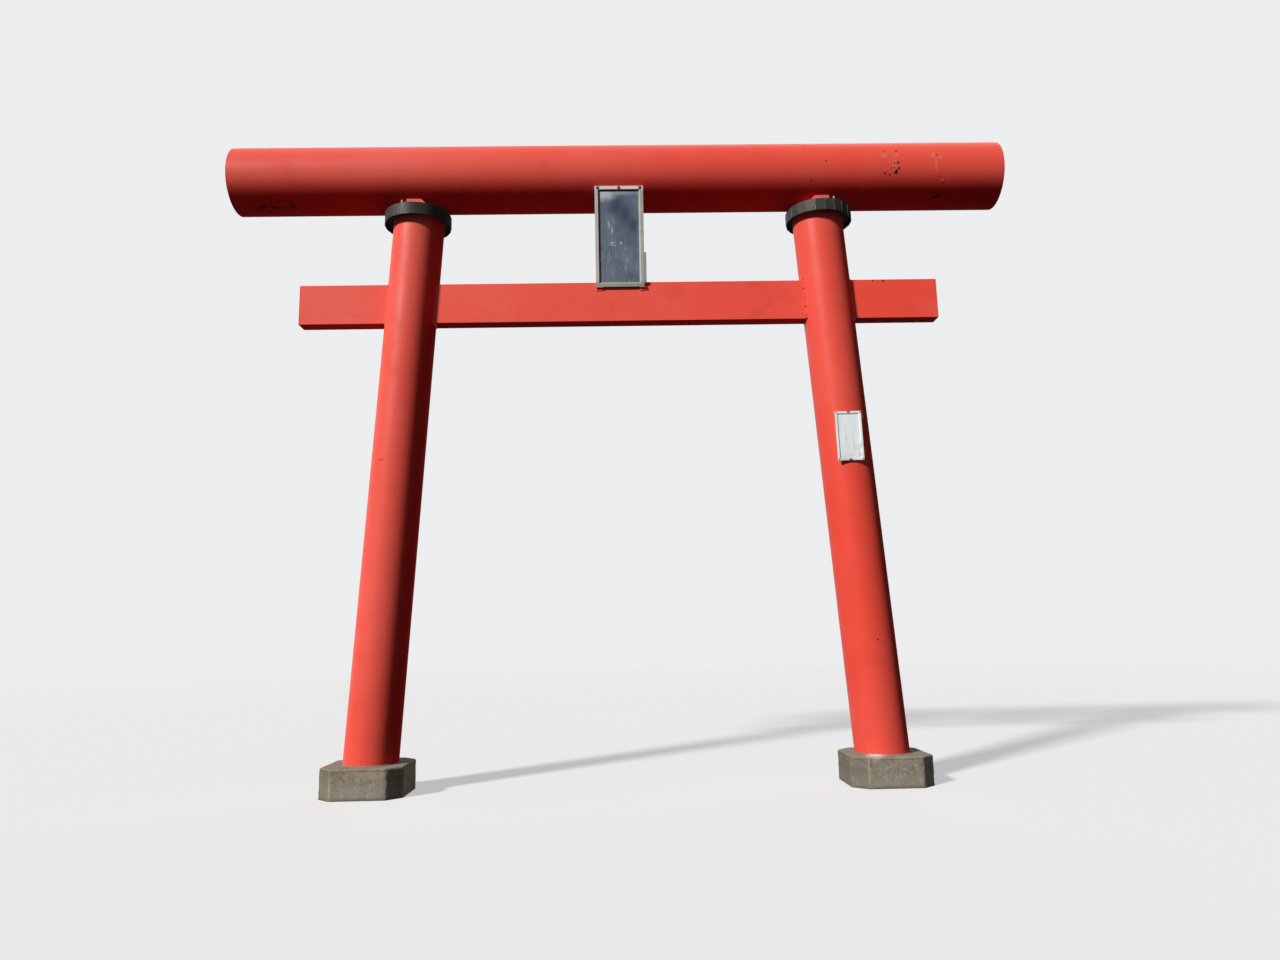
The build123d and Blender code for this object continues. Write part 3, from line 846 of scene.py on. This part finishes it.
# Mesh builders


def finished(work, name):
    """The bmesh as a mesh of this name."""
    mesh = bpy.data.meshes.new(name)
    work.to_mesh(mesh)
    work.free()
    return mesh


def linked(name, data):
    """A new object in the scene."""
    obj = bpy.data.objects.new(name, data)
    bpy.context.scene.collection.objects.link(obj)
    return obj


def piece(name, mesh, material, replaced=()):
    """Links a mesh to the scene as one piece of the gate."""
    obj = linked(name, mesh)
    mesh.materials.clear()
    mesh.materials.append(material)
    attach(obj, "root")
    if replaced:
        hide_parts(*replaced)
    return obj


def smooth_by_angle(mesh, degrees):
    for polygon in mesh.polygons:
        polygon.use_smooth = True
    mesh.set_sharp_from_angle(angle=math.radians(degrees))


def clean_copy(node):
    """The CAD node's own mesh with its flat faces whole again."""
    work = bmesh.new()
    work.from_mesh(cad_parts[node].data)
    bmesh.ops.remove_doubles(work, verts=work.verts, dist=MERGE_DISTANCE)
    flat = math.radians(FLAT_ANGLE)
    bmesh.ops.dissolve_limit(work, angle_limit=flat, verts=work.verts, edges=work.edges)
    return work


def dressed(node, material, bevel, sharp=25.0):
    """A copy of the CAD node with rounded edges, shown in its place."""
    name = f"{node}_dressed"
    mesh = finished(clean_copy(node), name)
    smooth_by_angle(mesh, sharp)
    obj = piece(name, mesh, material, [node])
    rounding = obj.modifiers.new("rounding", "BEVEL")
    rounding.width = bevel
    rounding.segments = ROUNDING_SEGMENTS
    rounding.limit_method = "ANGLE"
    rounding.angle_limit = math.radians(sharp)
    rounding.harden_normals = True


def join_rings(work, first, second):
    """Faces between two rings of as many points."""
    count = len(first)
    for corner in range(count):
        following = (corner + 1) % count
        work.faces.new((first[corner], first[following], second[following], second[corner]))


def bead(name, points, radius, material, closed=True, ripple=0.28):
    """A lumpy weld bead that follows the points."""
    count = len(points)
    rings = []
    work = bmesh.new()
    for index, point in enumerate(points):
        before = points[index - 1] if closed or index > 0 else point
        after = points[(index + 1) % count] if closed or index < count - 1 else point
        along = (after - before).normalized()
        across = along.orthogonal().normalized()
        if abs(along.y) < 0.9:
            across = along.cross(Vector((0, 1, 0))).normalized()
        upright = along.cross(across)
        lump = noise.noise(point * LUMPS_PER_METRE)
        fine_lump = noise.noise(point * FINE_LUMPS_PER_METRE)
        swell = radius * (1 + ripple * lump + 0.5 * ripple * fine_lump)
        ring = []
        for corner in range(BEAD_SIDES):
            turn = 2 * math.pi * corner / BEAD_SIDES
            offset = across * math.cos(turn) + upright * math.sin(turn)
            ring.append(work.verts.new(point + offset * swell))
        rings.append(ring)
    for index in range(count if closed else count - 1):
        join_rings(work, rings[index], rings[(index + 1) % count])
    if not closed:
        work.faces.new(rings[0])
        work.faces.new(list(reversed(rings[-1])))
    bmesh.ops.recalc_face_normals(work, faces=work.faces)
    mesh = finished(work, name)
    smooth_by_angle(mesh, 80.0)
    piece(name, mesh, material)


def spun(work, profile, place, sides):
    """Adds a solid of revolution; the profile is (radius, height) pairs from the foot up."""
    rings = []
    for radius, height in profile:
        ring = []
        for corner in range(sides):
            turn = 2 * math.pi * corner / sides
            offset = Vector((radius * math.cos(turn), radius * math.sin(turn), height))
            ring.append(work.verts.new(place + offset))
        rings.append(ring)
    for first, second in zip(rings, rings[1:]):
        join_rings(work, first, second)
    work.faces.new(list(reversed(rings[0])))
    work.faces.new(rings[-1])


def resampled(corners, spacing, closed=True):
    """Evenly spaced points along straight lines between the corners."""
    following = corners[1:] + corners[:1] if closed else corners[1:]
    points = []
    for start, end in zip(corners, following):
        steps = max(1, round((end - start).length / spacing))
        points += [start.lerp(end, step / steps) for step in range(steps)]
    return points if closed else [*points, corners[-1]]


# Camera, light and floor


def add_camera():
    level = Vector((math.cos(CAMERA_YAW), -math.sin(CAMERA_YAW), 0))
    ahead = Vector((math.sin(CAMERA_YAW), math.cos(CAMERA_YAW), 0))
    forward = ahead * math.cos(CAMERA_PITCH) + Vector((0, 0, math.sin(CAMERA_PITCH)))
    up = level.cross(forward)
    right = level * math.cos(CAMERA_ROLL) + up * math.sin(CAMERA_ROLL)
    top = up * math.cos(CAMERA_ROLL) - level * math.sin(CAMERA_ROLL)
    turn = Matrix((right, top, -forward)).transposed().to_4x4()
    data = bpy.data.cameras.new("camera")
    data.sensor_width = SENSOR_WIDTH
    data.lens = LENS
    camera = linked("camera", data)
    camera.matrix_world = Matrix.Translation(EYE) @ turn
    bpy.context.scene.camera = camera


def add_sun(name, azimuth, elevation, angle, power):
    """Distant lamp that shines from this azimuth, measured from the front to the viewer's right."""
    data = bpy.data.lights.new(name, "SUN")
    data.energy = power
    data.angle = math.radians(angle)
    data.color = LAMP_COLOUR
    side = math.radians(azimuth)
    rise = math.radians(elevation)
    level = Vector((math.sin(side), -math.cos(side), 0))
    towards = level * math.cos(rise) + Vector((0, 0, math.sin(rise)))
    linked(name, data).rotation_euler = towards.to_track_quat("Z", "Y").to_euler()


def pale_to_eye(tree):
    """1 for rays that should see a plain pale background."""
    path = add_node(tree, "ShaderNodeLightPath")
    shown = path.outputs["Is Camera Ray"]
    for name in ("Is Glossy Ray", "Is Transmission Ray"):
        larger = add_node(tree, "ShaderNodeMath", operation="MAXIMUM")
        tree.links.new(shown, larger.inputs[0])
        tree.links.new(path.outputs[name], larger.inputs[1])
        shown = larger.outputs[0]
    return shown


def blended(tree, share, first, second):
    """Mix of two shaders: the second one where the share is 1."""
    node = add_node(tree, "ShaderNodeMixShader")
    for socket, value in zip(node.inputs, (share, first, second)):
        tree.links.new(value, socket)
    return node.outputs[0]


def add_world():
    world = bpy.data.worlds.new("studio")
    tree = blank_tree(world)
    output = add_node(tree, "ShaderNodeOutputWorld")
    grounds = []
    for colour, strength in ((FILL_COLOUR, FILL_STRENGTH), (PALE, 1.0)):
        values = {"Color": (*colour, 1), "Strength": strength}
        grounds.append(add_node(tree, "ShaderNodeBackground", values).outputs[0])
    tree.links.new(blended(tree, pale_to_eye(tree), *grounds), output.inputs["Surface"])
    bpy.context.scene.world = world


def floor_material():
    """Pale matt floor that melts into the background far from the gate and keeps the shadow."""
    material = bpy.data.materials.new("studio_floor")
    tree = blank_tree(material)
    output = add_node(tree, "ShaderNodeOutputMaterial")
    place = add_node(tree, "ShaderNodeTexCoord")
    length = add_node(tree, "ShaderNodeVectorMath", operation="LENGTH")
    limits = {"From Min": FLOOR_FADE_START, "From Max": FLOOR_FADE_END}
    fade = add_node(tree, "ShaderNodeMapRange", limits, interpolation_type="SMOOTHSTEP")
    seen = add_node(tree, "ShaderNodeBsdfDiffuse", {"Color": (*FLOOR_SEEN, 1)})
    glow = add_node(tree, "ShaderNodeEmission", {"Color": (*PALE, 1), "Strength": FLOOR_GLOW})
    lit = add_node(tree, "ShaderNodeAddShader")
    bounce = add_node(tree, "ShaderNodeBsdfDiffuse", {"Color": (*FLOOR_BOUNCE, 1)})
    clear = add_node(tree, "ShaderNodeBsdfTransparent")
    tree.links.new(place.outputs["Object"], length.inputs[0])
    tree.links.new(length.outputs["Value"], fade.inputs["Value"])
    tree.links.new(seen.outputs[0], lit.inputs[0])
    tree.links.new(glow.outputs[0], lit.inputs[1])
    by_ray = blended(tree, pale_to_eye(tree), bounce.outputs[0], lit.outputs[0])
    whole = blended(tree, fade.outputs[0], by_ray, clear.outputs[0])
    tree.links.new(whole, output.inputs["Surface"])
    return material


def add_floor():
    work = bmesh.new()
    bmesh.ops.create_circle(work, cap_ends=True, segments=FLOOR_SEGMENTS, radius=FLOOR_RADIUS)
    mesh = finished(work, "floor")
    mesh.materials.append(floor_material())
    linked("floor", mesh)


# Pieces of the gate


def make_columns(paints, weld, rusty_weld):
    front, back = TIE_LOW.y, TIE_HIGH.y
    top, bottom = TIE_HIGH.z, TIE_LOW.z
    corners = [(front, top), (back, top), (back, bottom), (front, bottom)]
    outline = resampled([Vector((0, y, z)) for y, z in corners], TIE_WELD_SPACING)
    for name, column in COLUMNS.items():
        dressed(f"{name}_column", paints[name], bevel=0.002)
        for label, outward in (("outer", column.side), ("inner", -column.side)):
            points = [weld_point(column, outward, point.y, point.z) for point in outline]
            metal = rusty_weld if (name, label) == ("right", "inner") else weld
            bead(f"{name}_tie_weld_{label}", points, TIE_WELD_RADIUS, metal)


def make_lintel(paint, weld):
    dressed("lintel_pipe", paint, bevel=0.003)
    for name, side in SIDES.items():
        dressed(f"{name}_lintel_cap", paint, bevel=0.004)
        low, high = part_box(f"{name}_lintel_cap")
        x = side * (LINTEL_END - (high.x - low.x))
        sink = LINTEL_WELD_SINK * LINTEL_WELD_RADIUS
        ring = [on_lintel(x, turn, -sink) for turn in range(360)]
        bead(f"{name}_lintel_cap_weld", ring, LINTEL_WELD_RADIUS, weld, ripple=0.2)


def make_tie(paint):
    dressed("tie_beam", paint, bevel=0.005)
    for name in SIDES:
        dressed(f"{name}_tie_beam_cap", paint, bevel=0.004)


def make_collars(black, seam, red, weld):
    for name, side in SIDES.items():
        dressed(f"{name}_collar_band", black, bevel=0.002, sharp=COLLAR_SHARP[name])
        dressed(f"{name}_collar_top_plate", black, bevel=0.002)
        dressed(f"{name}_collar_soffit", black, bevel=0.001)
        low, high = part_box(f"{name}_collar_band")
        centre = (low + high) / 2
        corner = (high.y - low.y) / 2 - SEAM_RADIUS / 2
        for number in WORN_SEAMS[name]:
            turn = 2 * math.pi * number / COLLAR_FACETS
            x = centre.x - corner * math.sin(turn)
            y = corner * math.cos(turn)
            ends = [Vector((x, y, low.z)), Vector((x, y, high.z))]
            line = resampled(ends, SEAM_SPACING, closed=False)
            label = f"{name}_collar_seam_{number:02d}"
            bead(label, line, SEAM_RADIUS, seam, closed=False, ripple=0.5)
        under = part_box(f"{name}_collar_soffit")[0].z
        ring = [COLUMNS[name].skin(under, turn) for turn in range(0, 360, 2)]
        bead(f"{name}_collar_under_weld", ring, COLLAR_WELD_RADIUS, black)
        make_saddle(name, side, red, weld)


def make_saddle(name, side, red, weld):
    dressed(f"{name}_saddle", red, bevel=0.003)
    low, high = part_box(f"{name}_saddle")
    foot = [(low.x, low.y), (high.x, low.y), (high.x, high.y), (low.x, high.y)]
    base = resampled([Vector((x, y, low.z)) for x, y in foot], SADDLE_WELD_SPACING)
    bead(f"{name}_saddle_foot_weld", base, SADDLE_WELD_RADIUS, weld)
    outer = high.x if side > 0 else low.x
    reach = math.degrees(math.asin(high.y / LINTEL_RADIUS))
    shares = [2 * step / SADDLE_WELD_STEPS - 1 for step in range(SADDLE_WELD_STEPS + 1)]
    points = [on_lintel(outer, -90 + reach * share) for share in shares]
    bead(f"{name}_saddle_top_weld", points, SADDLE_WELD_RADIUS, weld, closed=False)


def make_tablet(red, metal, panel, grimy, steel):
    for side in SIDES:
        dressed(f"tablet_{side}_stile", metal, bevel=0.0015)
        dressed(f"tablet_{side}_shelf_bracket", red, bevel=0.002)
        dressed(f"tablet_{side}_hanger", steel, bevel=0.003)
    for end in ("top", "bottom"):
        dressed(f"tablet_{end}_rail", metal, bevel=0.0015)
    dressed("tablet_panel", panel, bevel=0.001)
    dressed("tablet_backboard", metal, bevel=0.001)
    dressed("tablet_side_strip", grimy, bevel=0.003)
    dressed("tablet_screws", steel, bevel=0.0015)


def make_name_plate(white, steel):
    dressed("name_plate", white, bevel=0.003)
    dressed("name_plate_cleats", steel, bevel=0.002)
    dressed("name_plate_screws", steel, bevel=0.001)


def make_bolts(name, metal):
    """Washer, chamfered nut and threaded stud at each bolt of one collar."""
    low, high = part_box(f"{name}_collar_bolts")
    corner = (high.x - low.x) / 2
    reach = high.y - corner * math.cos(math.pi / 6)
    top = high.z - low.z
    rise = WASHER_HEIGHT + NUT_HEIGHT
    washer = [(corner * WASHER_SPREAD, height) for height in (0, WASHER_HEIGHT)]
    nut = [
        (corner * NUT_FOOT_SPREAD, WASHER_HEIGHT),
        (corner * NUT_SPREAD, WASHER_HEIGHT + NUT_CHAMFER),
        (corner * NUT_SPREAD, rise - NUT_CHAMFER),
        (corner * NUT_TOP_SPREAD, rise),
    ]
    stud = [(STUD_RADIUS, rise - NUT_HEIGHT / 2)]
    for number in range(int((top - rise) / THREAD_PITCH)):
        start = rise + number * THREAD_PITCH
        stud.append((STUD_RADIUS, start))
        stud.append((STUD_RADIUS - THREAD_DEPTH, start + THREAD_PITCH / 2))
    stud.append((STUD_RADIUS - 2 * THREAD_DEPTH, top))
    work = bmesh.new()
    for end in (-1, 1):
        place = Vector(((low.x + high.x) / 2, end * reach, low.z))
        spun(work, washer, place, WASHER_SIDES)
        spun(work, nut, place, 6)
        spun(work, stud, place, STUD_SIDES)
    mesh = finished(work, f"{name}_collar_bolts_dressed")
    smooth_by_angle(mesh, 25.0)
    piece(mesh.name, mesh, metal, [f"{name}_collar_bolts"])


def fine_block(node):
    """The CAD node's mesh, evenly divided so that its surface can be worn."""
    plain = linked(f"{node}_plain", finished(clean_copy(node), f"{node}_plain"))
    even = plain.modifiers.new("even", "REMESH")
    even.mode = "VOXEL"
    even.voxel_size = VOXEL
    seen = plain.evaluated_get(bpy.context.evaluated_depsgraph_get())
    mesh = bpy.data.meshes.new_from_object(seen)
    mesh.name = f"{node}_dressed"
    bpy.data.objects.remove(plain)
    return mesh


def make_footing(name, stone):
    """The block with a worn, pitted surface and chipped edges, all inside its CAD form."""
    node = f"{name}_footing"
    worn = fine_block(node)
    low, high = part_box(node)
    centre = (low + high) / 2
    half = (high.x - low.x) / 2
    cut = (2 * half - footing_cut(name)) / math.sqrt(2)
    normals = [vertex.normal.copy() for vertex in worn.vertices]
    for vertex, normal in zip(worn.vertices, normals):
        point = vertex.co - centre
        if vertex.co.z < low.z + VOXEL / 2:
            vertex.co.z = low.z
            continue
        diagonal = (abs(point.x) + abs(point.y)) / math.sqrt(2)
        gaps = [half - abs(point.x), half - abs(point.y), cut - diagonal, high.z - vertex.co.z]
        edge = max(0.0, 1 - sorted(gaps)[1] / EDGE_WEAR)
        fine_chip = FINE_CHIP_SHARE * noise.noise(vertex.co * FINE_CHIP_SCALE)
        chip = max(0.0, noise.noise(vertex.co * CHIP_SCALE) + fine_chip - CHIP_FREE)
        rough = 0.5 + 0.5 * noise.fractal(vertex.co * PITTING_SCALE, *PITTING_GRAIN)
        chipped = edge**2 * (CHIP_LEAST + CHIP_MOST * chip)
        vertex.co -= normal * (FACE_LOSS + PITTING * rough + chipped)
    smooth_by_angle(worn, 60.0)
    piece(worn.name, worn, stone, [node])


def make_footings(stone):
    for name, column in COLUMNS.items():
        make_footing(name, stone)
        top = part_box(f"{name}_footing")[1].z
        ring = [column.skin(top, turn, GROUT_STANDOFF) for turn in range(0, 360, 2)]
        bead(f"{name}_foot_grout", ring, GROUT_RADIUS, stone, ripple=0.5)


def build_gate():
    left = COLUMNS["left"]
    right = COLUMNS["right"]
    rusted = [
        (weld_point(right, -1, TIE_LOW.y, tie_height(share)), radius) for share, radius in WELD_RUST
    ]
    lintel_paint = vermilion(
        "vermilion_lintel",
        pits=marked(on_lintel, LINTEL_PITS),
        blisters=marked(on_lintel, LINTEL_BLISTERS),
        stains=marked(on_lintel, LINTEL_STAINS),
        drips=marked(on_lintel, LINTEL_DRIPS),
    )
    # Painted light: the tie beam's vermilion is made brighter
    tie_pair = [tuple(part * TIE_PAINTED_LIGHT_GAIN for part in shade) for shade in VERMILION_PAIR]
    tie_pits = [*marked(on_tie, TIE_PITS), *rusted]
    tie_paint = vermilion(
        "vermilion_tie", pits=tie_pits, drips=marked(on_tie, TIE_DRIPS), pair=tie_pair
    )
    column_paints = {
        "left": vermilion(
            "vermilion_left_column",
            pits=marked(left.skin, LEFT_COLUMN_PITS),
            scuffs=marked(left.skin, LEFT_COLUMN_SCUFFS),
        ),
        "right": vermilion(
            "vermilion_right_column", pits=[*marked(right.skin, RIGHT_COLUMN_PITS), *rusted]
        ),
    }
    bracket_paint = vermilion("vermilion_brackets")
    saddle_paint = vermilion("vermilion_saddles", pair=SADDLE_PAIR)
    weld = weld_paint()
    rusty_weld = vermilion("vermilion_rusty_weld", pits=rusted, blisters=rusted[::2])
    galvanised = zinc()
    steel = dark_steel()
    white = enamel("white_enamel_smudged", WHITE_PAIR)
    grimy = enamel("white_enamel_grimy", GRIMY_PAIR)
    make_columns(column_paints, weld, rusty_weld)
    make_lintel(lintel_paint, weld)
    make_tie(tie_paint)
    make_collars(black_paint(), worn_seam(), saddle_paint, weld)
    make_tablet(bracket_paint, tablet_metal(), slate_panel(), grimy, steel)
    make_name_plate(white, steel)
    for name in SIDES:
        make_bolts(name, galvanised)
    make_footings(concrete())


add_camera()
add_sun("key", KEY_AZIMUTH, KEY_ELEVATION, KEY_ANGLE, KEY_POWER)
add_sun("back", BACK_AZIMUTH, BACK_ELEVATION, BACK_ANGLE, BACK_POWER)
add_world()
add_floor()
build_gate()
bpy.context.scene.view_settings.view_transform = "Standard"
